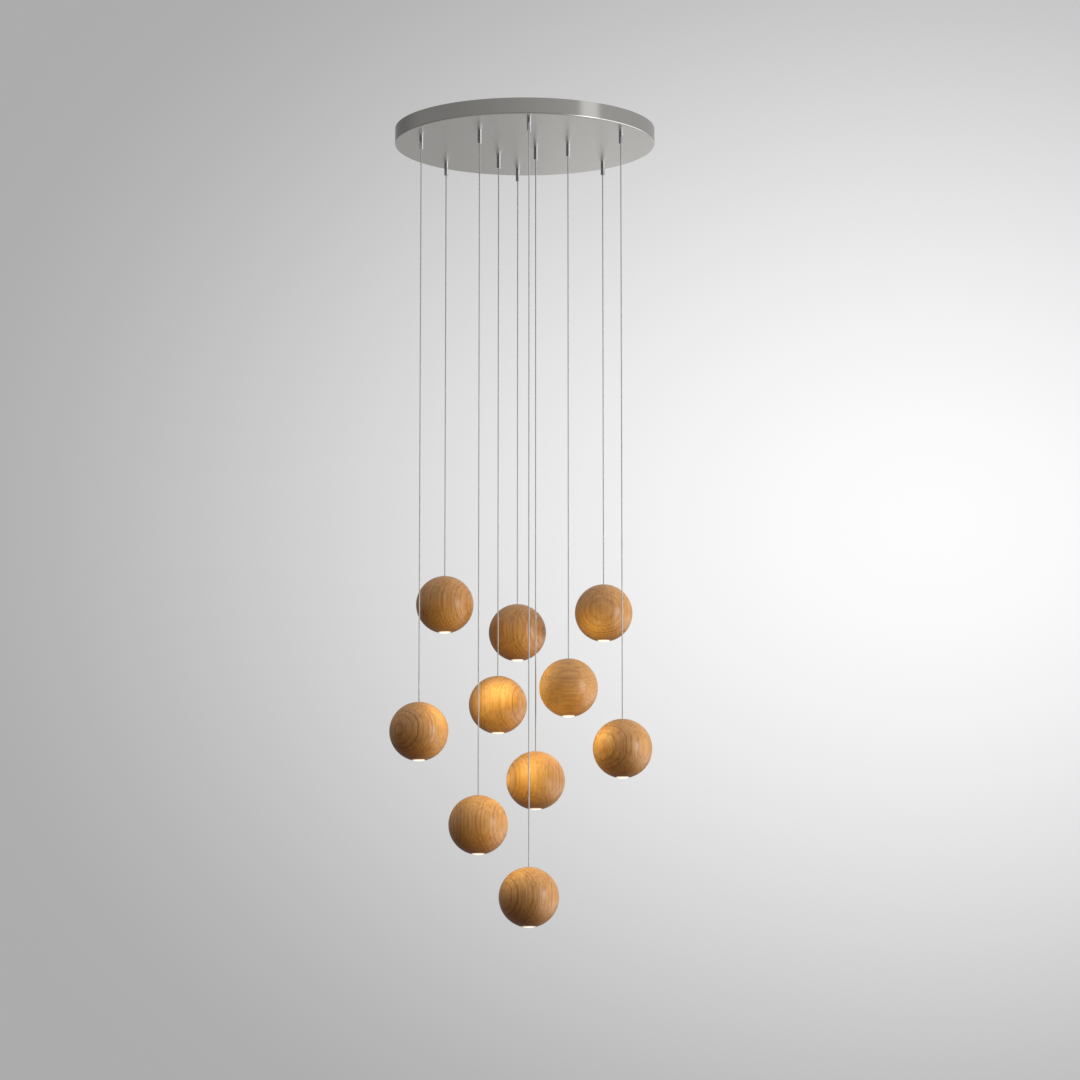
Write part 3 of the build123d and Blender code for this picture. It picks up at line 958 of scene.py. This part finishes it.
@dataclass
class Canopy:
    """The pressed pan with its grips, and the leads that it holds against the ceiling."""

    places: list[Place]
    sheet: float = 1.5 * MM
    edge_r: float = 2.2 * MM
    edge_faces: int = 5
    stud_hole_r: float = 2.7 * MM
    rim_hole_r: float = 2.2 * MM
    rim_hole_down: float = 11.0 * MM
    drill_sheets: float = 4.0
    pan_sides: int = 256
    wall_slope: float = 0.5
    grip_r: float = 3.5 * MM
    grip_edge: float = 0.4 * MM
    grip_mouth_r: float = 2.3 * MM
    grip_bore_r: float = 1.3 * MM
    stud_r: float = 2.5 * MM
    stud_above_floor: float = 5.0 * MM
    grip_sides: int = 48
    merge_gap: float = 0.001 * MM
    same_place: float = 0.01 * MM
    clamp_hole_r: float = 1.3 * MM
    clamp_up: float = 8.0 * MM
    lead_diameter: float = 2.0 * MM
    lead_rise: float = 12.0 * MM
    lead_turn_share: float = 0.25
    lead_turn_rises: float = 3.0
    lead_sag: float = 5.0 * MM
    lead_sag_share: float = 0.6
    lead_bite: float = 5.7 * MM
    lead_gap: float = 0.3 * MM
    driver_lead_diameter: float = 3.0 * MM
    driver_lead_down: float = 11.0 * MM
    driver_bites: float = 3.0

    def __post_init__(self) -> None:
        """Reads the canopy's outer sizes from the frame."""
        low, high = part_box("canopy_pan")
        self.pan_r = (high.x - low.x) / 2
        self.underside_z = low.z
        self.grip_foot_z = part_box("cord_grips")[0].z
        self.stud_top_z = self.underside_z + self.sheet + self.stud_above_floor

    def build_pan(self, material: Material, wall: Material) -> Piece:
        """Presses the pan, open to the ceiling, and drills its stud and rim holes.

        Args:
            material: the plate on the pan's floor.
            wall: the plate on its upright wall.

        Returns:
            The pan.
        """
        shape = bmesh.new()
        floor = Matrix.Translation((0.0, 0.0, self.underside_z))
        bmesh.ops.create_circle(
            shape, cap_ends=True, radius=self.pan_r, segments=self.pan_sides, matrix=floor
        )
        corner = shape.edges[:]
        step_loop(shape, corner, self.pan_r, 0.0)
        bmesh.ops.recalc_face_normals(shape, faces=shape.faces[:])
        round_edges(shape, corner, self.edge_r, self.edge_faces)
        bmesh.ops.solidify(shape, geom=shape.faces[:], thickness=self.sheet)
        pan = add_piece("pressed_pan", to_mesh("pressed_pan", shape), material)
        bars = bmesh.new()
        bar_length = self.drill_sheets * self.sheet
        for place in self.places:
            hole = Matrix.Translation((place.throat.x, place.throat.y, self.underside_z))
            add_bar(bars, self.stud_hole_r, bar_length, hole)
        for side in (-1, 1):
            hole = Matrix.Translation((side * self.pan_r, 0.0, -self.rim_hole_down))
            add_bar(bars, self.rim_hole_r, bar_length, hole @ Matrix.Rotation(math.pi / 2, 4, "Y"))
        drill(pan, bars)
        pan.data.materials.append(wall)
        for face in pan.data.polygons:
            face.material_index = int(abs(face.normal.z) < self.wall_slope)
        even_shading(pan)
        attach(pan, "canopy")
        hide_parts("canopy_pan")
        return pan

    def at_foot(self, vert: Vertex) -> bool:
        """Whether a point of a grip that stands on the Z axis lies on the outer edge of its foot."""
        off_edge = abs(math.hypot(vert.co.x, vert.co.y) - self.grip_r)
        return max(off_edge, abs(vert.co.z - self.grip_foot_z)) < self.same_place

    def build_grips(self, material: Material) -> Piece:
        """Turns the grips: a stud through the pan, a plain body with a broken edge, and a flared mouth.

        Args:
            material: the grips' plate.

        Returns:
            All the grips as one piece.
        """
        flare = self.grip_mouth_r - self.grip_bore_r
        outline = (
            (self.grip_bore_r, self.stud_top_z),
            (self.stud_r, self.stud_top_z),
            (self.stud_r, self.underside_z),
            (self.grip_r, self.underside_z),
            (self.grip_r, self.grip_foot_z),
            (self.grip_mouth_r, self.grip_foot_z),
            (self.grip_bore_r, self.grip_foot_z + flare),
        )
        shape = bmesh.new()
        corners = [shape.verts.new((radius, 0.0, height)) for radius, height in outline]
        edges = [shape.edges.new(pair) for pair in zip(corners, corners[1:] + corners[:1])]
        bmesh.ops.spin(
            shape,
            geom=corners + edges,
            cent=(0.0, 0.0, 0.0),
            axis=(0.0, 0.0, 1.0),
            angle=math.tau,
            steps=self.grip_sides,
            use_merge=True,
        )
        bmesh.ops.remove_doubles(shape, verts=shape.verts[:], dist=self.merge_gap)
        foot = [edge for edge in shape.edges if all(self.at_foot(vert) for vert in edge.verts)]
        round_edges(shape, foot, self.grip_edge)
        bmesh.ops.recalc_face_normals(shape, faces=shape.faces[:])
        bars = bmesh.new()
        clamp_z = self.grip_foot_z + self.clamp_up
        single = shape.verts[:] + shape.edges[:] + shape.faces[:]
        for place in self.places:
            grown = bmesh.ops.duplicate(shape, geom=single)["geom"]
            verts = [item for item in grown if isinstance(item, Vertex)]
            bmesh.ops.translate(shape, vec=(place.throat.x, place.throat.y, 0.0), verts=verts)
            hole = Matrix.Translation((place.throat.x, place.throat.y + self.grip_r / 2, clamp_z))
            add_bar(bars, self.clamp_hole_r, 2 * self.grip_r, hole @ Matrix.Rotation(math.pi / 2, 4, "X"))
        bmesh.ops.delete(shape, geom=[item for item in single if isinstance(item, Vertex)])
        grips = add_piece("turned_grips", to_mesh("turned_grips", shape), material)
        drill(grips, bars)
        even_shading(grips)
        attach(grips, "canopy")
        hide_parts("cord_grips")
        return grips

    def lead_route(self, place: Place, junction: Vector, junction_r: float) -> Route:
        """Lays out one cord's inner end: up through its grip's stud, over, and into the junction.

        Args:
            place: where the pendant hangs.
            junction: the junction's middle.
            junction_r: its radius.

        Returns:
            The lead's route.
        """
        foot = Vector((place.throat.x, place.throat.y, 0.0))
        way = Vector((junction.x, junction.y, 0.0)) - foot
        reach = way.length - junction_r + self.lead_bite
        lead_z = self.stud_top_z + self.lead_rise
        heights = (
            (0.0, place.throat.z + self.lead_gap),
            (0.0, self.stud_top_z),
            (0.0, lead_z),
            (min(self.lead_turn_share * reach, self.lead_turn_rises * self.lead_rise), lead_z),
            (self.lead_sag_share * reach, lead_z - self.lead_sag),
            (reach - 2 * self.lead_bite, lead_z),
            (reach, lead_z),
        )
        points = [foot + way.normalized() * along + Vector((0.0, 0.0, z)) for along, z in heights]
        return Route("lead", points, self.lead_diameter)

    def build_leads(self, material: Material) -> Piece:
        """Lays the cords' inner ends over to the junction, and the driver's lead.

        Args:
            material: the leads' finish.

        Returns:
            All the leads as one piece.
        """
        low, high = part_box("lead_junction")
        leads = [self.lead_route(place, (low + high) / 2, (high.x - low.x) / 2) for place in self.places]
        driver_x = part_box("led_driver")[1].x
        steps = (
            (driver_x - self.driver_bites * self.lead_bite, 0.0),
            (driver_x, 0.0),
            ((driver_x + low.x) / 2, self.lead_sag),
            (low.x, 0.0),
            (low.x + self.lead_bite, 0.0),
        )
        points = [Vector((x, 0.0, -self.driver_lead_down - sag)) for x, sag in steps]
        leads.append(Route("lead", points, self.driver_lead_diameter))
        shape = bmesh.new()
        for lead in leads:
            tube, _ = lead.meshes()
            shape.from_mesh(tube)
            bpy.data.meshes.remove(tube)
        wires = add_piece("inner_wires", to_mesh("inner_wires", shape), material)
        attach(wires, "canopy")
        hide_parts("inner_leads")
        return wires


@dataclass(frozen=True)
class Panel:
    """A flat soft light that faces a point."""

    name: str
    place: Triple
    aim: Triple
    size: Span
    watts: float
    mirrored: bool = True

    def build(self) -> Piece:
        """Hangs the panel.

        Returns:
            The light, which the camera doesn't see.
        """
        light = hang_light(self.name, LightKind.FLAT, self.place, self.watts)
        light.data.shape = "RECTANGLE"
        light.data.size, light.data.size_y = self.size
        light.rotation_euler = (Vector(self.place) - Vector(self.aim)).to_track_quat("Z", "Y").to_euler()
        light.visible_glossy = self.mirrored
        return light


@dataclass(frozen=True)
class Glow:
    """A soft warm light among the balls, for what the lamps throw on to each other's wood."""

    name: str
    place: Triple
    watts: float
    colour: str = "#FFF3A2"
    radius: float = 0.025

    def build(self) -> Piece:
        """Hangs the glow.

        Returns:
            The light, which is seen only by what it lights.
        """
        light = hang_light(self.name, LightKind.ROUND, self.place, self.watts, self.colour)
        light.data.shadow_soft_size = self.radius
        return light


@dataclass(frozen=True)
class Fill:
    """Broad soft light from one side of the room, which matt surfaces catch."""

    way: Triple
    strength: float
    colour: str = "#FFFFFF"


# The key gives the highlights and stands to the right of the camera, and the side light models the balls. The
# metal mirrors three cards: a dim wide one behind, one there for the underside's lighter right half, and one
# below
KEY = Panel("key", (3.09, -2.01, -0.75), (0.0, 0.0, -1.0), (1.2, 1.5), 42.0)
SIDE = Panel("side", (3.95, 0.10, -0.40), (0.0, 0.0, -1.0), (2.0, 2.0), 125.0, mirrored=False)
CARDS = (
    Panel("wide_card", (0.0, 2.2, -0.60), (0.0, 0.0, -0.05), (4.0, 1.4), 5.5),
    Panel("right_card", (0.68, 2.0, -0.45), (0.06, 0.0, -0.05), (1.4, 0.85), 1.9),
    Panel("low_card", (0.0, 0.0, -2.4), (0.0, 0.0, 0.0), (8.0, 8.0), 66.0),
)
GLOWS = (
    Glow("glow_01", (-0.025, 0.001, -0.966), 0.136),
    Glow("glow_02", (-0.067, 0.001, -0.966), 0.077),
    Glow("glow_03", (-0.100, 0.010, -1.000), 0.051),
    Glow("glow_04", (0.012, -0.053, -0.932), 0.076),
    Glow("glow_05", (-0.002, -0.062, -1.103), 0.110),
    Glow("glow_06", (-0.050, -0.010, -1.130), 0.070),
    Glow("glow_07", (-0.010, -0.100, -1.160), 0.114),
    Glow("glow_08", (-0.120, -0.110, -1.010), 0.109),
    Glow("glow_09", (-0.070, -0.170, -1.160), 0.051),
    Glow("glow_10", (-0.033, -0.243, -1.272), 0.126),
    Glow("glow_11", (0.100, -0.150, -1.060), 0.148),
    Glow("glow_12", (0.100, 0.060, -0.890), 0.103),
)
# From above, a little from the right, and from below a little that the wood there has made warm
FILLS = (
    Fill((0.0, 0.0, 1.0), 1.42),
    Fill((1.0, 0.0, 0.0), 0.24),
    Fill((0.0, 0.0, -1.0), 0.15, "#FFAE78"),
)


@dataclass(frozen=True)
class Room:
    """The room that metal mirrors: dim at the left, lighter at the right, with one tall soft strip.

    It is dimmer behind to the left. Below the horizon it is dark, a little lighter behind and bright to the
    right. A span says between which shares of a direction such a change sets in and ends.
    """

    left: float = 0.30
    right: float = 0.56
    low: float = 0.12
    low_back: float = 0.06
    low_right: float = 2.00
    dim_back_left: float = 0.45
    down_span: Span = (0.0, -0.15)
    back_span: Span = (0.2, 0.8)
    right_span: Span = (0.5, 0.85)
    left_span: Span = (0.1, -0.4)
    strip_way: Triple = (0.863, -0.505, 0.0)
    strip_half_width: float = 0.15
    strip_blur: float = 0.04
    strip_span: Span = (0.55, 0.75)
    strip: float = 0.50
    strip_low: float = 1.70

    def paint(self, tree: Tree, way: Socket) -> Node:
        """Paints the room.

        Args:
            tree: the world's node tree.
            way: the direction that is mirrored.

        Returns:
            The room's grey.
        """
        axes = add_node(tree, "SeparateXYZ", way).outputs
        down = add_node(tree, "MapRange", axes["Z"], *self.down_span, **SOFT)
        back = add_node(tree, "MapRange", axes["Y"], *self.back_span, **SOFT)
        right = add_node(tree, "MapRange", axes["X"], *self.right_span, 0.0, self.low_right, **SOFT)
        low = add_node(tree, "Math", back, self.low_back, right, operation="MULTIPLY_ADD")
        below = add_node(tree, "Math", low, self.low, operation="ADD")
        left = add_node(tree, "MapRange", axes["X"], *self.left_span, 0.0, -self.dim_back_left, **SOFT)
        shade = add_node(tree, "Math", left, back, 1.0, operation="MULTIPLY_ADD")
        sides = add_node(tree, "MapRange", axes["X"], -1.0, 1.0, self.left, self.right)
        above = add_node(tree, "Math", sides, shade, operation="MULTIPLY")
        # A mix of numbers has its two numbers at inputs 2 and 3
        room = add_node(tree, "Mix", down, inputs={2: above, 3: below})
        level = add_node(tree, "Mix", down, inputs={2: self.strip, 3: self.strip_low})
        turned = add_node(tree, "VectorMath", way, self.strip_way, operation="DOT_PRODUCT")
        facing = add_node(tree, "MapRange", turned, *self.strip_span, **SOFT)
        bright = add_node(tree, "Math", facing, level, operation="MULTIPLY")
        across = (-self.strip_way[1], self.strip_way[0], 0.0)
        aside = add_node(tree, "VectorMath", way, across, operation="DOT_PRODUCT")
        off = add_node(tree, "Math", aside, operation="ABSOLUTE")
        outside = self.strip_half_width + self.strip_blur
        inside = self.strip_half_width - self.strip_blur
        strip = add_node(tree, "MapRange", off, outside, inside, **SOFT)
        return add_node(tree, "Math", strip, bright, room, operation="MULTIPLY_ADD")


@dataclass
class Studio:
    """A pale floor, soft lights from the right and from above, and the photograph's camera."""

    camera_place: Triple = (0.0264, -7.800, -1.9466)
    camera_pitch_deg: float = 8.929
    lens_mm: float = 153.71
    floor_z: float = -2.6
    floor_r: float = 4.0
    floor_sides: int = 96
    floor_fade: Span = (0.35, 0.95)
    floor_colour: str = "#C8C8C7"
    floor_roughness: float = 0.8
    wall_colour: str = "#ACACAC"
    pool_colour: str = "#FDFDFD"
    pool_way: Triple = (0.0841, 0.9838, 0.1586)
    pool_spread: Triple = (0.234, 0.217, 0.172)
    room: Room = Room()

    def build(self) -> dict[str, Piece]:
        """Sets up the camera, the floor, the lights and the world.

        Returns:
            The lights, by their names.
        """
        self.add_camera()
        self.add_floor()
        self.add_world()
        bpy.context.scene.view_settings.view_transform = "Standard"
        return {light.name: light.build() for light in (KEY, SIDE, *CARDS, *GLOWS)}

    def add_camera(self) -> None:
        """Puts the camera where the photograph was taken from."""
        camera = put("camera", bpy.data.cameras.new("camera"))
        camera.data.lens = self.lens_mm
        camera.location = self.camera_place
        camera.rotation_euler = (math.radians(90 + self.camera_pitch_deg), 0.0, 0.0)
        bpy.context.scene.camera = camera

    def add_floor(self) -> None:
        """Lays a round pale floor that fades out into the backdrop, and that isn't there from below."""
        shape = bmesh.new()
        level = Matrix.Translation((0.0, 0.0, self.floor_z))
        bmesh.ops.create_circle(
            shape, cap_ends=True, radius=self.floor_r, segments=self.floor_sides, matrix=level
        )
        material, tree, shader = new_material("pale_floor")
        place = add_node(tree, "TexCoord").outputs["Object"]
        scale = (1 / self.floor_r, 1 / self.floor_r, 0.0)
        flat = add_node(tree, "Mapping", place, inputs={"Scale": scale})
        reach = add_node(tree, "VectorMath", flat, operation="LENGTH")
        fade = add_node(tree, "MapRange", reach, *self.floor_fade, 1.0, 0.0, **SOFT)
        below = add_node(tree, "NewGeometry").outputs["Backfacing"]
        above = add_node(tree, "Math", 1.0, below, operation="SUBTRACT")
        inputs = {
            "Base Color": linear(self.floor_colour),
            "Roughness": self.floor_roughness,
            "Alpha": add_node(tree, "Math", fade, above, operation="MULTIPLY"),
        }
        set_inputs(tree, shader, inputs)
        floor = add_piece("pale_floor", to_mesh("pale_floor", shape), material)
        floor.visible_diffuse = False
        floor.visible_glossy = False

    def add_world(self) -> None:
        """Makes the world: a pale wall that is seen, a soft room that is mirrored, and the fills."""
        world = bpy.data.worlds.new("studio")
        world.use_nodes = True
        bpy.context.scene.world = world
        tree = world.node_tree
        tree.nodes.clear()
        way = add_node(tree, "TexCoord").outputs["Generated"]
        rays = add_node(tree, "LightPath").outputs
        seen = add_node(tree, "Background", self.wall(tree, way))
        mirrored = add_node(tree, "Background", self.room.paint(tree, way))
        lit = add_node(tree, "Background", self.fill(tree, way))
        shiny = add_node(
            tree, "Math", rays["Is Glossy Ray"], rays["Is Transmission Ray"], operation="MAXIMUM"
        )
        unseen = add_node(tree, "MixShader", shiny, lit, mirrored)
        whole = add_node(tree, "MixShader", rays["Is Camera Ray"], unseen, seen)
        add_node(tree, "OutputWorld", whole)

    def wall(self, tree: Tree, way: Socket) -> Node:
        """Paints the wall behind the object, with a soft pool of light to the right.

        Args:
            tree: the world's node tree.
            way: the direction that is looked in.

        Returns:
            The wall's colour.
        """
        off = add_node(tree, "VectorMath", way, self.pool_way, operation="SUBTRACT")
        share = add_node(tree, "VectorMath", off, self.pool_spread, operation="DIVIDE")
        reach = add_node(tree, "VectorMath", share, operation="LENGTH")
        colour = add_node(tree, "ValToRGB", add_node(tree, "MapRange", reach, 1.0, 0.0, **SOFT))
        set_stops(colour, [(0.0, linear(self.wall_colour)), (1.0, linear(self.pool_colour))])
        return colour

    def fill(self, tree: Tree, way: Socket) -> Node:
        """Adds up the soft light from the room's sides.

        Args:
            tree: the world's node tree.
            way: the direction that the light comes from.

        Returns:
            The fills' colour.
        """
        total: Any = (0.0, 0.0, 0.0)
        for fill in FILLS:
            turned = add_node(tree, "VectorMath", way, fill.way, operation="DOT_PRODUCT")
            share = add_node(tree, "MapRange", turned, 0.0, 1.0, 0.0, fill.strength)
            colour = linear(fill.colour)[:3]
            total = add_node(tree, "VectorMath", colour, share, total, operation="MULTIPLY_ADD")
        return total


def spare(light: Piece, pieces: list[Piece]) -> None:
    """Keeps a light off some pieces.

    Args:
        light: the light.
        pieces: the pieces that it doesn't reach.
    """
    spared = bpy.data.collections.new(f"spared_by_{light.name}")
    for piece in pieces:
        spared.objects.link(piece)
    for member in spared.collection_objects:
        member.light_linking.link_state = "EXCLUDE"
    light.light_linking.receiver_collection = spared


def dress_fittings() -> None:
    """Gives the fittings inside the canopy, which keep their shape, their finishes."""
    screws = SCREW_STEEL.material()
    dress("mounting_strap", BRIGHT_ZINC.material())
    dress("led_driver", DRIVER_PLASTIC.material())
    dress("lead_junction", JUNCTION_PLASTIC.material())
    for node in ("rim_set_screws", "grip_nuts", "grip_screws", "bracket_screws"):
        dress(node, screws)


def main() -> None:
    """Builds the studio and the light, in order, and reports each piece."""
    logging.basicConfig(level=logging.INFO, format="%(message)s")
    lights = Studio().build()
    places = pendant_places()
    low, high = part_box("ball_01")
    ball_radius = (high.x - low.x) / 2
    sheath = CordSheath().material()
    cords = [Cord(place, ball_radius).build(sheath) for place in places]
    for glow in GLOWS:
        spare(lights[glow.name], cords)
    canopy = Canopy(places)
    pan = canopy.build_pan(SATIN_NICKEL.material(), SPUN_NICKEL.material())
    grips = canopy.build_grips(POLISHED_CHROME.material())
    spare(lights[KEY.name], [pan, grips])
    canopy.build_leads(sheath)
    dress_fittings()
    aluminium = TURNED_ALUMINIUM.material()
    brass = TURNED_BRASS.material()
    wood = LacqueredWood()
    acrylic = FrostedAcrylic()
    balls = []
    for place, grain in zip(places, GRAINS):
        pendant = Pendant(place, ball_radius)
        balls.append(pendant.build_ball(wood.material(place.number, place.middle, ball_radius, grain)))
        pendant.build_lens(acrylic.material(place.middle))
        pendant.light()
        pendant.dress_inside(aluminium, brass)
    for card in CARDS:
        spare(lights[card.name], balls)


if __name__ == "__main__":
    main()
